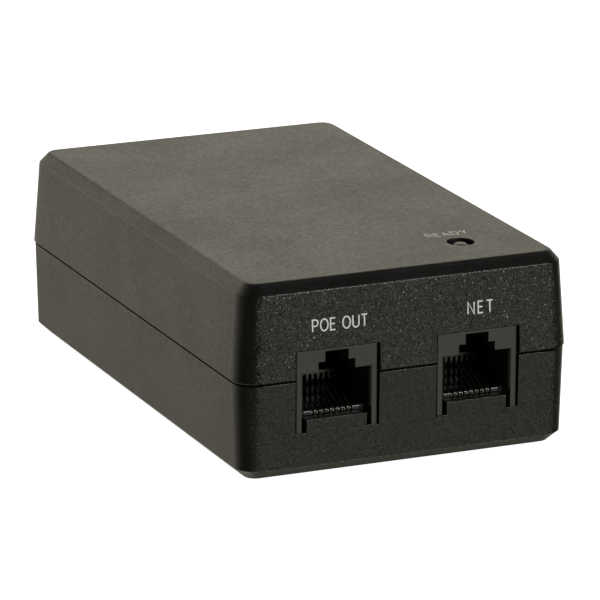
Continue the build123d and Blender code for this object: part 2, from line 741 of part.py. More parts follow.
with BuildPart() as y_capacitor:
    x, y = y_capacitor_place
    with BuildSketch(Plane.XZ.offset(-y - disc_thickness / 2)):
        with Locations((x, board_top + y_capacitor_radius + disc_lift)):
            Circle(y_capacitor_radius)
    extrude(amount=disc_thickness)
    fillet(y_capacitor.edges().filter_by(GeomType.CIRCLE), disc_round)
    for lead_x in around(x, disc_lead_pitch / 2):
        post(lead_x, y, disc_lead_radius, (board_top, board_top + disc_lead_rise))
y_capacitor.part.label = "y_capacitor"
export_step(y_capacitor.part, "parts/y_capacitor.step")

with BuildPart() as optocoupler:
    x, y = optocoupler_place
    block(around(x, 3.2), around(y, 2.3), (board_top + 0.6, board_top + 4.1))
    for lead_x in around(x, 3.6):
        for lead_y in around(y, 1.3):
            block(around(lead_x, 0.4), around(lead_y, 0.5), (board_top, board_top + 2.2))
optocoupler.part.label = "optocoupler"
export_step(optocoupler.part, "parts/optocoupler.step")

with BuildPart() as output_capacitors:
    for x, y in output_capacitor_places:
        post(x, y, output_capacitor_radius, (board_top, board_top + 20.0))
    fillet(output_capacitors.edges().filter_by(GeomType.CIRCLE), 0.8)
    with BuildSketch(Plane.XY.offset(board_top + 2.4)):
        with Locations(*output_capacitor_places):
            Circle(output_capacitor_radius + 0.4)
            Circle(output_capacitor_radius - 0.4, mode=Mode.SUBTRACT)
    extrude(amount=0.8, mode=Mode.SUBTRACT)
output_capacitors.part.label = "output_capacitors"
export_step(output_capacitors.part, "parts/output_capacitors.step")

with BuildPart() as output_choke:
    x, y = output_choke_place
    post(x, y, 3.3, (board_top, board_top + 1.2))
    post(x, y, 2.7, (board_top + 1.2, board_top + 7.4))
    post(x, y, 3.3, (board_top + 7.4, board_top + 8.6))
output_choke.part.label = "output_choke"
export_step(output_choke.part, "parts/output_choke.step")

for jack_name, jack_x in jack_places.items():
    with BuildPart() as magnetics:
        block(around(jack_x, 6.5), around(magnetics_y, 3.9), (board_top + 0.3, board_top + 5.8))
        for side in (-1, 1):
            for k in range(12):
                foot = sorted((magnetics_y + side * 3.8, magnetics_y + side * 4.8))
                block(around(jack_x + (k - 5.5) * 1.0, 0.22), foot, (board_top, board_top + 0.8))
    magnetics.part.label = f"{jack_name}_magnetics"
    export_step(magnetics.part, f"parts/{jack_name}_magnetics.step")

with BuildPart() as poe_controller:
    block(around(0, 2.0), around(magnetics_y, 2.5), (board_top + 0.2, board_top + 1.7))
    for side in (-1, 1):
        for k in range(4):
            lead = sorted((side * 1.9, side * 3.0))
            block(lead, around(magnetics_y + (k - 1.5) * 1.27, 0.2), (board_top, board_top + 0.8))
poe_controller.part.label = "poe_controller"
export_step(poe_controller.part, "parts/poe_controller.step")
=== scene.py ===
import json
import math

import bmesh
import bpy
from mathutils import Matrix, Vector


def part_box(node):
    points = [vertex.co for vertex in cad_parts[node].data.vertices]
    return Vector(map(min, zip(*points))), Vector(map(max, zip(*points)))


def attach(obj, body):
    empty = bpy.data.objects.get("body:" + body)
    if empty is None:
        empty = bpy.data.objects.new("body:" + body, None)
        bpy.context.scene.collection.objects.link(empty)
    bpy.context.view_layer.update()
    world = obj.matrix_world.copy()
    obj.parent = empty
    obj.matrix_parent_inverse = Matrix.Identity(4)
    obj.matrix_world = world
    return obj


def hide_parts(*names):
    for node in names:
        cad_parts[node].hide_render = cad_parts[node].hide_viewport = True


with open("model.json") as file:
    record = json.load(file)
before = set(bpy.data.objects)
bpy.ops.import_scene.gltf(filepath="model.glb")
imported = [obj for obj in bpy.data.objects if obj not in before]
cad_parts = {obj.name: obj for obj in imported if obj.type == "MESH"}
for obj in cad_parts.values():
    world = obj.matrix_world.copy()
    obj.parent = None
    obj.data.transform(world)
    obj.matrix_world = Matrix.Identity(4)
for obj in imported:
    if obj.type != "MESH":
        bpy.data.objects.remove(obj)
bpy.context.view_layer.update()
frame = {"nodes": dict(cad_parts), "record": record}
nodes = frame["nodes"]

MM = 0.001
NOISE_LOW, NOISE_HIGH = 0.3, 0.7  # most of a noise texture lies between these
PLAIN_IOR = 1.5
BULK_RADIUS, SMALL_RADIUS = 8.0 * MM, 5.0 * MM  # of the electrolytic cans


# The looks and the small pieces of a PoE injector. X right, -Y out of the jacks, Z up, in metres.

# ---------------------------------------------------------------- places, from the frame

def low(node):
    """Lowest corner of a CAD node."""
    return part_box(node)[0]


def high(node):
    """Highest corner of a CAD node."""
    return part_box(node)[1]


def middle(node):
    """Middle of a CAD node's box."""
    return (low(node) + high(node)) / 2


case_top = high("top_cover").z
case_front = low("top_cover").y
board_top = high("main_board").z


def cans():
    """Axis, radius and top of the bulk capacitor and of the two output capacitors."""
    row_low, row_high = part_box("output_capacitors")
    across = middle("output_capacitors").x
    found = [(middle("bulk_capacitor"), BULK_RADIUS, high("bulk_capacitor").z)]
    for y in (row_low.y + SMALL_RADIUS, row_high.y - SMALL_RADIUS):
        found.append((Vector((across, y, 0)), SMALL_RADIUS, row_high.z))
    return found


# ---------------------------------------------------------------- material building blocks

class Surface:
    """A node material: one Principled shader, with textures in the row frame's own metres."""

    def __init__(self, name, roughness=0.5, metallic=0.0, specular=0.5):
        self.material = bpy.data.materials.new(name)
        self.material.use_nodes = True
        self.tree = self.material.node_tree
        self.shader = self.tree.nodes["Principled BSDF"]
        self.shader.inputs["Roughness"].default_value = roughness
        self.shader.inputs["Metallic"].default_value = metallic
        self.shader.inputs["Specular IOR Level"].default_value = specular
        self.shader.inputs["IOR"].default_value = PLAIN_IOR
        self.place = self.add("ShaderNodeTexCoord").outputs["Object"]

    def add(self, kind, **values):
        """A new node with the given settings."""
        node = self.tree.nodes.new(kind)
        for key, value in values.items():
            setattr(node, key, value)
        return node

    def link(self, start, end):
        """Joins an output to an input."""
        self.tree.links.new(start, end)

    def noise(self, size, detail=2.0, rough=0.5):
        """Noise between 0 and 1 whose features are about size metres across."""
        node = self.add("ShaderNodeTexNoise")
        node.inputs["Scale"].default_value = 1 / size
        node.inputs["Detail"].default_value = detail
        node.inputs["Roughness"].default_value = rough
        self.link(self.place, node.inputs["Vector"])
        return node.outputs["Fac"]

    def facets(self, size, tilt):
        """Leans each small cell of the surface its own way, by up to half of tilt."""
        node = self.add("ShaderNodeTexVoronoi", feature="F1")
        node.inputs["Scale"].default_value = 1 / size
        self.link(self.place, node.inputs["Vector"])
        lean = self.add("ShaderNodeVectorMath", operation="SUBTRACT")
        self.link(node.outputs["Color"], lean.inputs[0])
        lean.inputs[1].default_value = (0.5, 0.5, 0.5)
        scaled = self.add("ShaderNodeVectorMath", operation="SCALE")
        self.link(lean.outputs[0], scaled.inputs[0])
        self.link(tilt, scaled.inputs["Scale"])
        total = self.add("ShaderNodeVectorMath", operation="ADD")
        normal = self.shader.inputs["Normal"]
        self.link(normal.links[0].from_socket, total.inputs[0])
        self.link(scaled.outputs[0], total.inputs[1])
        unit = self.add("ShaderNodeVectorMath", operation="NORMALIZE")
        self.link(total.outputs[0], unit.inputs[0])
        self.link(unit.outputs[0], normal)

    def span(self, value, low_in, high_in, low_out, high_out):
        """A value carried from one range to another."""
        node = self.add("ShaderNodeMapRange")
        self.link(value, node.inputs["Value"])
        for socket, number in zip(node.inputs[1:5], (low_in, high_in, low_out, high_out)):
            socket.default_value = number
        return node.outputs["Result"]

    def axis(self, name):
        """One coordinate of the place."""
        node = self.add("ShaderNodeSeparateXYZ")
        self.link(self.place, node.inputs[0])
        return node.outputs[name]

    def math(self, operation, first, second):
        """One sum of two values, each a number or an output."""
        node = self.add("ShaderNodeMath", operation=operation)
        for socket, value in zip(node.inputs, (first, second)):
            if isinstance(value, (int, float)):
                socket.default_value = value
            else:
                self.link(value, socket)
        return node.outputs[0]

    def blend(self, factor, first, second):
        """A colour between two colours, or colour outputs."""
        node = self.add("ShaderNodeMix", data_type="RGBA")
        self.link(factor, node.inputs["Factor"])
        for socket, value in zip((node.inputs[6], node.inputs[7]), (first, second)):
            if isinstance(value, tuple):
                socket.default_value = (*value, 1.0)
            else:
                self.link(value, socket)
        return node.outputs[2]

    def colour(self, output):
        """Sets the base colour."""
        self.link(output, self.shader.inputs["Base Color"])

    def rough(self, output):
        """Sets the roughness."""
        self.link(output, self.shader.inputs["Roughness"])

    def edge(self, radius):
        """Edges shaded as if rounded by this radius. Gives 1 on the rounding and 0 away from it."""
        still_flat, well_turned = 0.995, 0.97  # cosines between the shaded and the true normal
        node = self.add("ShaderNodeBevel", samples=6)
        node.inputs["Radius"].default_value = radius
        self.link(node.outputs["Normal"], self.shader.inputs["Normal"])
        flat = self.add("ShaderNodeNewGeometry").outputs["Normal"]
        turned = self.add("ShaderNodeVectorMath", operation="DOT_PRODUCT")
        self.link(node.outputs["Normal"], turned.inputs[0])
        self.link(flat, turned.inputs[1])
        return self.span(turned.outputs["Value"], still_flat, well_turned, 0.0, 1.0)

    def bump(self, height, depth):
        """Relief about depth metres deep, over any relief given before."""
        node = self.add("ShaderNodeBump")
        node.inputs["Strength"].default_value = 1.0
        node.inputs["Distance"].default_value = depth
        self.link(height, node.inputs["Height"])
        normal = self.shader.inputs["Normal"]
        if normal.is_linked:
            self.link(normal.links[0].from_socket, node.inputs["Normal"])
        self.link(node.outputs["Normal"], normal)


def moulded(name, dark, light, grain, depth, roughness, spread=0.08, specular=0.5, edge=0):
    """Moulded plastic, print or paper with a fine texture."""
    s = Surface(name, specular=specular)
    if edge:
        s.edge(edge)
    fine = s.noise(grain, detail=3.0, rough=0.6)
    cloudy = s.noise(9 * MM, detail=3.0)
    s.colour(s.blend(s.math("MULTIPLY", fine, cloudy), dark, light))
    s.rough(s.span(fine, NOISE_LOW, NOISE_HIGH, roughness - spread, roughness + spread))
    s.bump(fine, depth)
    return s.material


def eroded(name, dark, light, grain, depth, roughness, tilt, rounding):
    """Spark-eroded case plastic. The front wall has a coarse glittering grain and is glossier."""
    plain_roughness, worn_roughness = 0.48, 0.18
    grained_from, grained_to = 1.0 * MM, 1.3 * MM  # behind the foremost point of the case
    glossy_from, glossy_to = 2.0 * MM, 2.6 * MM  # this takes in the front chamfer
    s = Surface(name, specular=0.42)
    worn_edge = s.edge(rounding)
    sand = s.noise(grain, detail=1.5, rough=0.6)
    patch = s.noise(grain * 5, detail=2.0)
    cloudy = s.noise(14 * MM, detail=2.0)
    worn = s.span(cloudy, NOISE_LOW, NOISE_HIGH, 0.0, 1.0)
    s.colour(s.blend(s.math("MULTIPLY", patch, worn), dark, light))

    depth_in = s.axis("Y")
    on_front = s.span(depth_in, case_front + grained_to, case_front + grained_from, 0.0, 1.0)
    near_front = s.span(depth_in, case_front + glossy_to, case_front + glossy_from, 0.0, 1.0)
    gloss = s.math("MULTIPLY", near_front, plain_roughness - roughness)
    dull = s.math("SUBTRACT", plain_roughness, gloss)
    mottle, least_drift, most_drift = 0.04, -0.02, 0.03
    mottled = s.span(patch, 0.35, 0.65, mottle, -mottle)
    drift = s.span(cloudy, NOISE_LOW, NOISE_HIGH, least_drift, most_drift)
    uneven = s.math("ADD", s.math("ADD", dull, mottled), drift)
    polish = s.math("MULTIPLY", worn_edge, roughness - worn_roughness)
    s.rough(s.math("SUBTRACT", uneven, polish))

    s.bump(sand, depth)
    grained = s.math("MAXIMUM", s.math("SUBTRACT", on_front, worn_edge), 0.0)
    s.facets(grain * 1.2, s.math("MULTIPLY", grained, tilt))
    return s.material


def metal(name, dark, light, roughness, grain=0.4 * MM, depth=0.004 * MM):
    """Bare or plated metal with a slight handling haze."""
    s = Surface(name, metallic=1.0)
    haze = s.noise(grain, detail=3.0)
    s.colour(s.blend(haze, dark, light))
    s.rough(s.span(haze, NOISE_LOW, NOISE_HIGH, roughness - 0.08, roughness + 0.10))
    s.bump(haze, depth)
    return s.material


# ---------------------------------------------------------------- materials

def make_materials():
    """Every finish by name: the slots of the record, the two case shells, inks and bare metals."""
    made = {}
    black = (0.0036, 0.0048, 0.0030)
    soft_black = (0.0070, 0.0088, 0.0056)
    made["upper_case"] = eroded("upper_case", black, soft_black, grain=0.13 * MM, depth=0.008 * MM,
                                roughness=0.30, tilt=0.50, rounding=0.32 * MM)
    made["lower_case"] = eroded("lower_case", black, soft_black, grain=0.11 * MM, depth=0.006 * MM,
                                roughness=0.33, tilt=0.52, rounding=0.10 * MM)
    for name, dark, light, grain, depth, roughness in (
            ("print_ink", (0.78, 0.80, 0.84), (0.92, 0.93, 0.95), 0.15, 0.004, 0.45),
            ("faint_ink", (0.62, 0.62, 0.60), (0.78, 0.78, 0.76), 0.15, 0.004, 0.5),
            ("legend_ink", (0.60, 0.61, 0.58), (0.74, 0.75, 0.72), 0.3, 0.003, 0.5),
            ("label_ink", (0.05, 0.05, 0.055), (0.10, 0.10, 0.105), 0.3, 0.003, 0.4)):
        made[name] = moulded(name, dark, light, grain * MM, depth * MM, roughness)
    for name, dark, light, roughness, grain in (
            ("solder", (0.55, 0.56, 0.57), (0.74, 0.75, 0.76), 0.28, 0.6),
            ("can_aluminium", (0.62, 0.63, 0.64), (0.78, 0.79, 0.80), 0.30, 0.8),
            ("tinned_wire", (0.52, 0.52, 0.50), (0.72, 0.71, 0.68), 0.30, 0.4),
            ("blade_metal", (0.60, 0.59, 0.56), (0.75, 0.74, 0.70), 0.22, 0.4),
            ("screw_steel", (0.45, 0.46, 0.47), (0.62, 0.62, 0.63), 0.32, 0.4),
            ("heat_sink_metal", (0.58, 0.59, 0.60), (0.74, 0.74, 0.75), 0.34, 1.2)):
        made[name] = metal(name, dark, light, roughness, grain * MM)
    made["contact_gold"] = metal("contact_gold", (0.20, 0.185, 0.13), (0.30, 0.275, 0.20),
                                 roughness=0.34, grain=0.5 * MM, depth=0.0005 * MM)
    made["jack_plastic"] = moulded("jack_plastic", (0.015, 0.0155, 0.0125), (0.023, 0.024, 0.0195),
                                   grain=0.5 * MM, depth=0.004 * MM, roughness=0.38,
                                   spread=0.05, specular=0.45, edge=0.15 * MM)
    made["insert_plastic"] = moulded("insert_plastic", (0.0025, 0.0036, 0.0033),
                                     (0.0050, 0.0066, 0.0060), grain=0.5 * MM, depth=0.003 * MM,
                                     roughness=0.26, spread=0.05, specular=0.4, edge=0.12 * MM)
    made["inlet_plastic"] = moulded("inlet_plastic", (0.009, 0.009, 0.009), (0.016, 0.016, 0.015),
                                    grain=0.4 * MM, depth=0.006 * MM, roughness=0.36, spread=0.05)
    made["foot_rubber"] = moulded("foot_rubber", (0.010, 0.010, 0.010), (0.022, 0.022, 0.021),
                                  grain=0.3 * MM, depth=0.02 * MM, roughness=0.75, specular=0.3)
    made["lamp_lens"] = lens_material()
    for name, dark, light, roughness in (
            ("sleeve_plastic", (0.012, 0.012, 0.012), (0.022, 0.022, 0.022), 0.5),
            ("label_paper", (0.50, 0.50, 0.49), (0.60, 0.60, 0.58), 0.5),
            ("sheet_film", (0.46, 0.42, 0.32), (0.55, 0.51, 0.40), 0.35),
            ("board_laminate", (0.012, 0.10, 0.045), (0.02, 0.15, 0.07), 0.3),
            ("fuse_plastic", (0.03, 0.018, 0.014), (0.05, 0.03, 0.024), 0.3),
            ("varistor_resin", (0.02, 0.06, 0.22), (0.04, 0.10, 0.32), 0.3),
            ("film_capacitor", (0.50, 0.32, 0.03), (0.62, 0.42, 0.06), 0.35),
            ("ferrite", (0.018, 0.018, 0.020), (0.040, 0.040, 0.043), 0.45),
            ("copper_wire", (0.32, 0.10, 0.03), (0.48, 0.18, 0.06), 0.3),
            ("semiconductor_black", (0.010, 0.010, 0.011), (0.022, 0.022, 0.023), 0.42),
            ("capacitor_sleeve", (0.008, 0.012, 0.035), (0.014, 0.020, 0.055), 0.3),
            ("bobbin_plastic", (0.02, 0.016, 0.012), (0.035, 0.028, 0.022), 0.4),
            ("winding_tape", (0.62, 0.42, 0.03), (0.75, 0.54, 0.06), 0.3),
            ("ceramic_disc", (0.02, 0.10, 0.30), (0.04, 0.16, 0.42), 0.3),
            ("opto_white", (0.55, 0.55, 0.52), (0.66, 0.66, 0.62), 0.4)):
        made[name] = moulded(name, dark, light, 0.5 * MM, 0.006 * MM, roughness, spread=0.06)
    return made


def lens_material():
    """Milky clear lamp lens, unlit."""
    s = Surface("lamp_lens", roughness=0.4, specular=0.35)
    cloud = s.noise(0.8 * MM, detail=2.0)
    s.colour(s.blend(cloud, (0.055, 0.055, 0.060), (0.09, 0.09, 0.10)))
    s.rough(s.span(cloud, NOISE_LOW, NOISE_HIGH, 0.36, 0.50))
    s.bump(cloud, 0.006 * MM)
    return s.material


def dress_nodes(materials):
    """Gives every CAD node the material of its slot. The two shells differ in grain."""
    slots = {part["node"]: part["material_slot"] for part in frame["record"]["subparts"]}
    slots["top_cover"] = "upper_case"
    slots["bottom_cover"] = "lower_case"
    for name, node in nodes.items():
        node.data.materials.clear()
        node.data.materials.append(materials[slots[name]])


# ---------------------------------------------------------------- pieces in mesh code

def finish_piece(name, bm, material, body, smooth=False):
    """Turns a bmesh into a piece that rides on a body."""
    bmesh.ops.recalc_face_normals(bm, faces=bm.faces)
    for face in bm.faces:
        face.smooth = smooth
    mesh = bpy.data.meshes.new(name)
    bm.to_mesh(mesh)
    bm.free()
    mesh.materials.append(materials[material])
    piece = bpy.data.objects.new(name, mesh)
    bpy.context.scene.collection.objects.link(piece)
    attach(piece, body)
    return piece


def ring_of_wire(bm, path, radius, sides=8):
    """Round wire along a closed path of points."""
    aslant = Vector((0.31, 0.17, 0.94))  # never along the wire
    rings = []
    count = len(path)
    for k, point in enumerate(path):
        along = (path[(k + 1) % count] - path[k - 1]).normalized()
        side = along.cross(aslant).normalized()
        up = along.cross(side)
        ring = []
        for n in range(sides):
            angle = math.tau * n / sides
            out = math.cos(angle) * side + math.sin(angle) * up
            ring.append(bm.verts.new(point + radius * out))
        rings.append(ring)
    for k in range(count):
        first, second = rings[k], rings[(k + 1) % count]
        shift = 0
        if k == count - 1:
            shift = min(range(sides), key=lambda n: (first[0].co - second[n].co).length)
        for n in range(sides):
            bm.faces.new((first[n], first[(n + 1) % sides],
                          second[(n + 1 + shift) % sides], second[(n + shift) % sides]))


def lathe(bm, centre, profile, sides):
    """Closed turned shape about an upright axis; profile is a list of radius and height."""
    rings = []
    for radius, height in profile:
        ring = []
        for n in range(sides):
            angle = math.tau * n / sides
            x = centre.x + radius * math.cos(angle)
            y = centre.y + radius * math.sin(angle)
            ring.append(bm.verts.new((x, y, height)))
        rings.append(ring)
    for first, second in zip(rings, rings[1:]):
        for n in range(sides):
            bm.faces.new((first[n], first[(n + 1) % sides], second[(n + 1) % sides], second[n]))
    bm.faces.new(rings[0])
    bm.faces.new(rings[-1])


def ribbon(bm, points, width, place, lift, thick, closed=False):
    """A flat printed stroke along 2-D points. place(u, v, h) puts it on its surface."""
    sharpest = 0.45  # keeps the mitre of a tight corner short
    points = [Vector(p) for p in points]
    count = len(points)
    left, right = [], []
    for k, point in enumerate(points):
        before = points[k - 1] if (closed or k > 0) else None
        after = points[(k + 1) % count] if (closed or k < count - 1) else None
        into = (point - before).normalized() if before is not None else (after - point).normalized()
        out = (after - point).normalized() if after is not None else into
        turn_in = Vector((-into.y, into.x))
        turn_out = Vector((-out.y, out.x))
        mitre = (turn_in + turn_out).normalized()
        reach = width / 2 / max(sharpest, mitre.dot(turn_in))
        left.append(point + mitre * reach)
        right.append(point - mitre * reach)
    tops = [[bm.verts.new(place(p.x, p.y, lift + thick)) for p in row] for row in (left, right)]
    lows = [[bm.verts.new(place(p.x, p.y, lift)) for p in row] for row in (left, right)]
    spans = count if closed else count - 1
    for k in range(spans):
        n = (k + 1) % count
        bm.faces.new((tops[0][k], tops[0][n], tops[1][n], tops[1][k]))
        bm.faces.new((lows[0][k], lows[1][k], lows[1][n], lows[0][n]))
        bm.faces.new((tops[0][k], lows[0][k], lows[0][n], tops[0][n]))
        bm.faces.new((tops[1][k], tops[1][n], lows[1][n], lows[1][k]))
    if not closed:
        for k in (0, count - 1):
            bm.faces.new((tops[0][k], tops[1][k], lows[1][k], lows[0][k]))


def arc(cx, cy, rx, ry, start, end, steps=12):
    """Points along part of an ellipse, in degrees."""
    angles = [math.radians(start + (end - start) * k / steps) for k in range(steps + 1)]
    return [(cx + rx * math.cos(a), cy + ry * math.sin(a)) for a in angles]


# Plain stroke letters, one cap height tall: width, then strokes.
BOWL = [(0, 0), (0, 1), (0.30, 1)] + arc(0.30, 0.73, 0.27, 0.27, 90, -90)[1:] + [(0, 0.46)]
LETTERS = {
    "A": (0.74, [[(0, 0), (0.37, 1), (0.74, 0)], [(0.13, 0.32), (0.61, 0.32)]]),
    "D": (0.66, [[(0, 0), (0, 1), (0.26, 1)] + arc(0.26, 0.5, 0.40, 0.5, 90, -90)[1:] + [(0, 0)]]),
    "E": (0.50, [[(0.50, 1), (0, 1), (0, 0), (0.50, 0)], [(0, 0.52), (0.44, 0.52)]]),
    "N": (0.66, [[(0, 0), (0, 1), (0.66, 0), (0.66, 1)]]),
    "O": (0.78, [arc(0.39, 0.5, 0.39, 0.5, 90, 450, 28)]),
    "P": (0.57, [BOWL]),
    "R": (0.60, [BOWL, [(0.27, 0.46), (0.60, 0)]]),
    "T": (0.62, [[(0, 1), (0.62, 1)], [(0.31, 1), (0.31, 0)]]),
    "U": (0.64, [[(0, 1)] + arc(0.32, 0.32, 0.32, 0.32, 180, 360) + [(0.64, 1)]]),
    "Y": (0.70, [[(0, 1), (0.35, 0.47), (0.70, 1)], [(0.35, 0.47), (0.35, 0)]]),
}


def print_word(name, word, start, baseline, width, cap, stroke, place, ink):
    """A generic word, its letters spread evenly over the width."""
    bm = bmesh.new()
    space, narrow = 0.22 * cap, 0.86 * cap
    lift, thick, step = 0.002 * MM, 0.012 * MM, 0.003 * MM  # crossing strokes differ by a step
    body = sum(space if letter == " " else LETTERS[letter][0] * narrow for letter in word)
    gap = (width - body) / (len(word) - 1)
    across = start
    for letter in word:
        if letter == " ":
            across += space + gap
            continue
        letter_width, strokes = LETTERS[letter]
        for order, points in enumerate(strokes):
            spots = [(across + x * narrow, baseline + y * cap) for x, y in points]
            ribbon(bm, spots, stroke, place, lift, thick + step * order)
        across += letter_width * narrow + gap
    finish_piece(name, bm, ink, "cover")


def make_words():
    """Generic words over the jacks and beside the lamp."""
    wall_foot = 18.45 * MM  # the front wall leans back from here up
    lean = 1.0 / 15.05
    stroke = 0.26 * MM

    def on_front(u, v, h):
        return Vector((u, case_front + (v - wall_foot) * lean - h, v + h * lean))

    def on_top(u, v, h):
        return Vector((u, v, case_top + h))

    for name, word, start, baseline, width, cap, place, ink in (
            ("words_left", "POE OUT", -17.75, 26.45, 10.2, 2.05, on_front, "print_ink"),
            ("words_right", "NET", 11.4, 26.3, 4.7, 2.05, on_front, "print_ink"),
            ("words_lamp", "READY", 11.94, -33.27, 7.7, 2.0, on_top, "faint_ink")):
        print_word(name, word, start * MM, baseline * MM, width * MM, cap * MM, stroke, place, ink)


def make_label_table():
    """Frame, ruled lines and plain bars on the rating label, with no text."""
    label_low, label_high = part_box("rating_label")
    inset, indent = 2.0 * MM, 1.5 * MM
    border, rule, bar = 0.35 * MM, 0.25 * MM, 1.1 * MM
    lift, thin, mid, thick = 0.004 * MM, 0.01 * MM, 0.014 * MM, 0.017 * MM
    short_bar, long_bar, shorter = 9 * MM, 17 * MM, 1.5 * MM  # each row's long bar is shorter
    rows = 7

    def on_label(u, v, h):
        return Vector((u, v, label_low.z - h))

    bm = bmesh.new()
    left, right = label_low.x + inset, label_high.x - inset
    near, far = label_low.y + inset, label_high.y - inset
    split = left + (right - left) * 0.38
    row_height = (far - near) / rows
    outline = [(left, near), (right, near), (right, far), (left, far)]
    ribbon(bm, outline, border, on_label, lift, thin, closed=True)
    for k in range(1, rows):
        v = near + row_height * k
        ribbon(bm, [(left, v), (right, v)], rule, on_label, lift, mid)
    ribbon(bm, [(split, near + row_height), (split, far - row_height)], rule, on_label, lift, thick)
    for k in range(1, rows - 1):
        v = near + row_height * (k + 0.5)
        for start, length in ((left + indent, short_bar), (split + indent, long_bar - shorter * k)):
            ribbon(bm, [(start, v), (start + length, v)], bar, on_label, lift, thin)
    finish_piece("label_table", bm, "label_ink", "base")


def outline_of(node, margin):
    """Corners of the rectangle round a node, on the board."""
    (x0, y0, _), (x1, y1, _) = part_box(node)
    return [(x0 - margin, y0 - margin), (x1 + margin, y0 - margin),
            (x1 + margin, y1 + margin), (x0 - margin, y1 + margin)]


def on_board(u, v, h):
    """A place on the upper side of the board."""
    return Vector((u, v, board_top + h))


def make_board_legend():
    """Printed outlines round the parts on the board."""
    margin, line = 0.7 * MM, 0.18 * MM
    lift, thick = 0.004 * MM, 0.012 * MM
    bm = bmesh.new()
    for node in ("x_capacitor", "bridge_rectifier", "switching_transistor", "output_rectifier",
                 "transformer_core", "optocoupler", "varistor", "y_capacitor", "poe_magnetics",
                 "lan_magnetics", "poe_controller"):
        ribbon(bm, outline_of(node, margin), line, on_board, lift, thick, closed=True)
    bulk, *small = [centre for centre, _, _ in cans()]
    rounds = [(bulk, BULK_RADIUS + 0.8 * MM), (middle("fuse"), 4.9 * MM),
              (middle("output_choke"), 3.9 * MM)]
    rounds += [(centre, SMALL_RADIUS + 0.45 * MM) for centre in small]
    for centre, radius in rounds:
        circle = arc(centre.x, centre.y, radius, radius, 0, 360, 48)[:-1]
        ribbon(bm, circle, line, on_board, lift, thick, closed=True)
    finish_piece("board_legend", bm, "legend_ink", "base")


def make_solder_joints():
    """Solder cones round the leads that can be seen, and pads under the small packages."""
    cone = [(0.95, 0.0), (0.92, 0.05), (0.70, 0.16), (0.55, 0.40), (0.46, 0.70)]
    bridge_pitch, device_pitch, lamp_pitch = 3.8 * MM, 2.54 * MM, 2.54 * MM
    device_setback, lamp_setback = 2.4 * MM, 0.25 * MM
    disc_reach = 2.5 * MM
    lift, thick = 0.003 * MM, 0.06 * MM
    bridge, lamp = middle("bridge_rectifier"), middle("led_leads")
    switch, rectifier = middle("switching_transistor"), middle("output_rectifier")
    spots = [(bridge.x + (k - 1.5) * bridge_pitch, bridge.y) for k in range(4)]
    row = high("switching_transistor").y - device_setback
    spots += [(switch.x + k * device_pitch, row) for k in (-1, 0, 1)]
    row = high("output_rectifier").x - device_setback
    spots += [(row, rectifier.y + k * device_pitch) for k in (-1, 0, 1)]
    for node in ("varistor", "y_capacitor"):
        spots += [(middle(node).x + side * disc_reach, middle(node).y) for side in (-1, 1)]
    row = high("led_leads").y - lamp_setback
    spots += [(lamp.x + side * lamp_pitch / 2, row) for side in (-1, 1)]
    bm = bmesh.new()
    for x, y in spots:
        lathe(bm, Vector((x, y, 0)), [(r * MM, board_top + h * MM) for r, h in cone], 20)

    pad_pitch, pad_reach, pad_half, pad_width = 1.0 * MM, 4.75 * MM, 0.75 * MM, 0.52 * MM
    for node in ("poe_magnetics", "lan_magnetics"):
        part = middle(node)
        for side in (-1, 1):
            for k in range(12):
                x = part.x + (k - 5.5) * pad_pitch
                y = part.y + side * pad_reach
                ends = [(x, y - pad_half), (x, y + pad_half)]
                ribbon(bm, ends, pad_width, on_board, lift, thick)

    pad_pitch, pad_reach, pad_half, pad_width = 1.27 * MM, 2.9 * MM, 0.7 * MM, 0.62 * MM
    chip = middle("poe_controller")
    for side in (-1, 1):
        for k in range(4):
            y = chip.y + (k - 1.5) * pad_pitch
            x = chip.x + side * pad_reach
            ends = [(x - pad_half, y), (x + pad_half, y)]
            ribbon(bm, ends, pad_width, on_board, lift, thick)
    finish_piece("solder_joints", bm, "solder", "base", smooth=True)


def make_can_tops():
    """Bare aluminium end of each electrolytic can, inside its sleeve, and its scored vent, drawn as
    black strokes of painted shade.
    """
    sleeve_roll = 1.5 * MM
    rim = [(0.35, -0.01), (0.30, 0.05), (-0.2, 0.05), (-0.5, 0.01)]
    vent_shade_width, lift, thick = 0.32 * MM, 0.01 * MM, 0.012 * MM
    ends = bmesh.new()
    # The vent strokes are painted shade: black lines standing in for the shade in the scored
    # grooves.
    vent_shade_strokes = bmesh.new()
    for centre, radius, top in cans():
        disc = radius - sleeve_roll
        lathe(ends, centre, [(disc + r * MM, top + h * MM) for r, h in rim], 48)

        def on_end(u, v, h, z=top):
            return Vector((u, v, z + h))

        reach = disc * 0.72
        for degrees in (30, 150, 270):
            away = math.radians(degrees)
            tip = (centre.x + reach * math.cos(away), centre.y + reach * math.sin(away))
            ribbon(vent_shade_strokes, [(centre.x, centre.y), tip], vent_shade_width, on_end, lift, thick)
    finish_piece("can_ends", ends, "can_aluminium", "base", smooth=True)
    finish_piece("can_vent_shade", vent_shade_strokes, "semiconductor_black", "base")


def make_sleeve_stripes():
    """Pale polarity stripe down each electrolytic sleeve."""
    half_width, lift, thick = 1.3 * MM, 0.015 * MM, 0.01 * MM
    foot = board_top + 4.6 * MM
    below_top = 1.6 * MM
    steps = 8
    bm = bmesh.new()
    for (centre, radius, top), facing in zip(cans(), (200, -40, -40)):
        half = math.degrees(half_width / radius)
        columns = []
        for k in range(steps + 1):
            angle = math.radians(facing - half + 2 * half * k / steps)
            out = Vector((math.cos(angle), math.sin(angle), 0)) * (radius + lift)
            columns.append([bm.verts.new(Vector((centre.x, centre.y, z)) + out)
                            for z in (foot, top - below_top)])
        for first, second in zip(columns, columns[1:]):
            bm.faces.new((first[0], second[0], second[1], first[1]))
    bmesh.ops.solidify(bm, geom=bm.faces[:], thickness=thick)
    finish_piece("sleeve_stripes", bm, "legend_ink", "base")


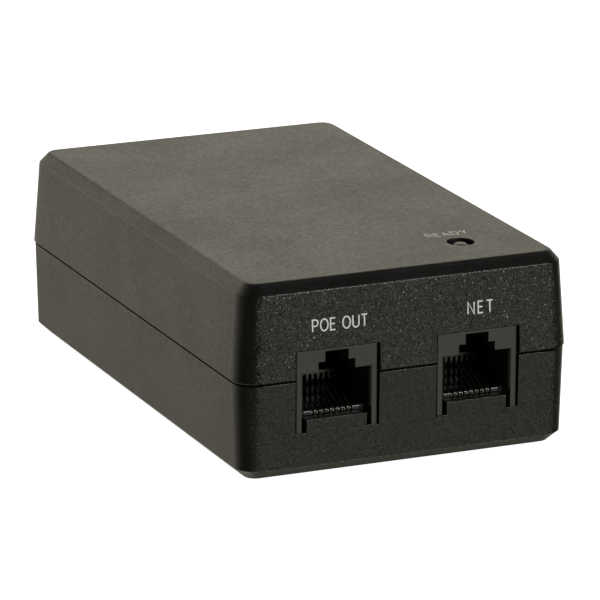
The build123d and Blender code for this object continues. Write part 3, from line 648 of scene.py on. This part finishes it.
def make_choke_turns():
    """Copper turns of the common-mode choke, in the place of the plain winding blocks."""
    core_low, core_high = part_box("choke_core")
    centre = middle("choke_core")
    wire, corner, ring_width = 0.38 * MM, 0.6 * MM, 3.4 * MM
    turns, sweep, starts = 11, 128, (26, 206)  # angles round the core in degrees
    outer = core_high.x - centre.x + wire - corner
    inner = core_high.x - centre.x - ring_width - wire + corner
    bottom, top = core_low.z - wire + corner, core_high.z + wire - corner
    loop = []
    for u, v, first in ((outer, top, 90), (outer, bottom, 0),
                        (inner, bottom, -90), (inner, top, -180)):
        loop += arc(u, v, corner, corner, first, first - 90, 4)
    bm = bmesh.new()
    for start in starts:
        for k in range(turns):
            angle = math.radians(start + sweep * k / (turns - 1))
            out = Vector((math.cos(angle), math.sin(angle), 0))
            spots = [Vector((centre.x, centre.y, v)) + out * u for u, v in loop]
            ring_of_wire(bm, spots, wire)
    turns_piece = finish_piece("choke_turns", bm, "copper_wire", "base", smooth=True)
    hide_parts("choke_windings")


def make_marks():
    """Pin-one dots on the small packages, set in from the corner by dx and dy."""
    thick = 0.015 * MM
    bm = bmesh.new()
    for node, dx, dy, radius in (
            ("optocoupler", 1.0, 1.0, 0.35),
            ("poe_controller", 1.7, 0.7, 0.3),
            ("poe_magnetics", 1.2, 2.2, 0.5),
            ("lan_magnetics", 1.2, 2.2, 0.5)):
        spot = low(node) + Vector((dx, dy, 0)) * MM
        top = high(node).z
        lathe(bm, spot, [(radius * MM, top), (radius * MM, top + thick)], 20)
    finish_piece("package_dots", bm, "legend_ink", "base")


# ---------------------------------------------------------------- studio

def make_floor():
    """A plain pale floor, lit from within like a light table. Gloss sees the studio instead."""
    mesh = bpy.data.meshes.new("floor")
    half = 6.0  # metres
    corners = [(-half, -half, 0), (half, -half, 0), (half, half, 0), (-half, half, 0)]
    mesh.from_pydata(corners, [], [(0, 1, 2, 3)])
    floor = bpy.data.objects.new("floor", mesh)
    bpy.context.scene.collection.objects.link(floor)
    s = Surface("floor_paper", roughness=0.8, specular=0.2)
    shade = s.noise(0.5, detail=1.0)
    s.colour(s.blend(shade, (0.86, 0.86, 0.86), (0.88, 0.88, 0.88)))
    s.shader.inputs["Emission Color"].default_value = (1.0, 1.0, 1.0, 1.0)
    s.shader.inputs["Emission Strength"].default_value = 1.0
    # Seen from underneath, the paper lets the object through.
    clear = s.add("ShaderNodeBsdfTransparent")
    sides = s.add("ShaderNodeMixShader")
    s.link(s.add("ShaderNodeNewGeometry").outputs["Backfacing"], sides.inputs["Fac"])
    s.link(s.shader.outputs[0], sides.inputs[1])
    s.link(clear.outputs[0], sides.inputs[2])
    s.link(sides.outputs[0], s.tree.nodes["Material Output"].inputs["Surface"])
    mesh.materials.append(s.material)
    floor.visible_glossy = False
    floor.visible_diffuse = False
    floor.visible_shadow = False


def make_light(name, place, target, width, height, power):
    """A soft rectangular light aimed at a point."""
    data = bpy.data.lights.new(name, "AREA")
    data.shape = "RECTANGLE"
    data.size = width
    data.size_y = height
    data.energy = power
    light = bpy.data.objects.new(name, data)
    light.location = place
    light.rotation_euler = (Vector(target) - Vector(place)).to_track_quat("-Z", "Y").to_euler()
    bpy.context.scene.collection.objects.link(light)


def make_world():
    """Studio surroundings in place of softboxes. The camera itself sees plain white."""
    world = bpy.data.worlds.new("studio")
    world.use_nodes = True
    bpy.context.scene.world = world
    tree = world.node_tree
    background = tree.nodes["Background"]

    def ramp(value, start, end, low_out, high_out):
        node = tree.nodes.new("ShaderNodeMapRange")
        node.interpolation_type = "SMOOTHSTEP"
        tree.links.new(value, node.inputs["Value"])
        for socket, number in zip(node.inputs[1:5], (start, end, low_out, high_out)):
            socket.default_value = number
        return node.outputs["Result"]

    def combine(operation, first, second):
        node = tree.nodes.new("ShaderNodeMath")
        node.operation = operation
        for socket, value in zip(node.inputs, (first, second)):
            if isinstance(value, (int, float)):
                socket.default_value = value
            else:
                tree.links.new(value, socket)
        return node.outputs[0]

    def mix(factor, first, second):
        node = tree.nodes.new("ShaderNodeMix")
        node.data_type = "RGBA"
        tree.links.new(factor, node.inputs["Factor"])
        for socket, value in zip((node.inputs[6], node.inputs[7]), (first, second)):
            if isinstance(value, tuple):
                socket.default_value = (*value, 1.0)
            else:
                tree.links.new(value, socket)
        return node.outputs[2]

    backdrop_strength, floor_strength, under_strength, ambient = 1.40, 1.52, 0.6, 0.085
    dimmed = 0.46
    direction = tree.nodes.new("ShaderNodeTexCoord").outputs["Generated"]
    parts = tree.nodes.new("ShaderNodeSeparateXYZ")
    tree.links.new(direction, parts.inputs[0])
    x, y, z = (parts.outputs[name] for name in "XYZ")

    # The wall behind the object: it fades out overhead and is dimmed below the horizon.
    backdrop = combine("MULTIPLY", ramp(y, 0.15, 0.75, 0.0, backdrop_strength),
                       ramp(z, 0.55, 0.90, 1.0, 0.0))
    backdrop = combine("MULTIPLY", backdrop, ramp(z, -0.40, -0.05, dimmed, 1.0))

    # The lit table in front of the jacks, in a strip to the right of them.
    front_floor = combine("MULTIPLY", ramp(y, -0.45, -0.75, 0.0, floor_strength),
                          ramp(z, -0.05, 0.25, 1.0, 0.0))
    strip = combine("MULTIPLY", ramp(x, 0.10, 0.30, 0.0, 1.0), ramp(x, 0.50, 0.72, 1.0, 0.0))
    front_floor = combine("MULTIPLY", front_floor, strip)

    # Light from below and from the left, for the underside.
    under = combine("MULTIPLY", ramp(z, -0.55, -0.80, 0.0, under_strength),
                    ramp(x, -0.05, 0.20, 1.0, 0.0))

    panels = combine("ADD", backdrop, front_floor)
    seen = combine("ADD", combine("ADD", panels, under), ambient)
    camera_ray = tree.nodes.new("ShaderNodeLightPath").outputs["Is Camera Ray"]
    tree.links.new(combine("MAXIMUM", seen, camera_ray), background.inputs["Strength"])
    front_tint, back_tint, white = (1.0, 1.0, 0.86), (1.0, 0.93, 0.79), (1.0, 1.0, 1.0)
    warm = mix(ramp(y, -0.3, 0.3, 0.0, 1.0), front_tint, back_tint)
    tree.links.new(mix(camera_ray, warm, white), background.inputs["Color"])


def make_camera():
    """A long lens, a little to the left of the jacks and above them, fitted to the photograph."""
    azimuth = math.radians(-23.517)
    elevation = math.radians(16.367)
    roll = math.radians(0.249)
    distance = 0.9236
    target = Vector((1.927 * MM, 0, low("bottom_cover").z + 15.372 * MM))
    level = math.cos(elevation)
    back = Vector((math.sin(azimuth) * level, -math.cos(azimuth) * level, math.sin(elevation)))
    right = Vector((math.cos(azimuth), math.sin(azimuth), 0))
    up = back.cross(right)
    turned_right = right * math.cos(roll) + up * math.sin(roll)
    turned_up = up * math.cos(roll) - right * math.sin(roll)
    data = bpy.data.cameras.new("camera")
    data.sensor_width = 36.0
    data.lens = 307.03
    data.clip_start = 0.05
    data.clip_end = 30.0
    camera = bpy.data.objects.new("camera", data)
    turn = Matrix((turned_right, turned_up, back)).transposed().to_4x4()
    camera.matrix_world = Matrix.Translation(target + back * distance) @ turn
    bpy.context.scene.collection.objects.link(camera)
    bpy.context.scene.camera = camera


# ---------------------------------------------------------------- assembly

materials = make_materials()
dress_nodes(materials)
make_words()
make_label_table()
make_board_legend()
make_solder_joints()
make_can_tops()
make_sleeve_stripes()
make_choke_turns()
make_marks()
make_floor()
make_world()
make_light("key_light", place=(0.50, -1.05, 0.54), target=(0, 0, 0.015),
           width=0.22, height=0.18, power=6.0)
make_camera()
bpy.context.scene.view_settings.view_transform = "Standard"
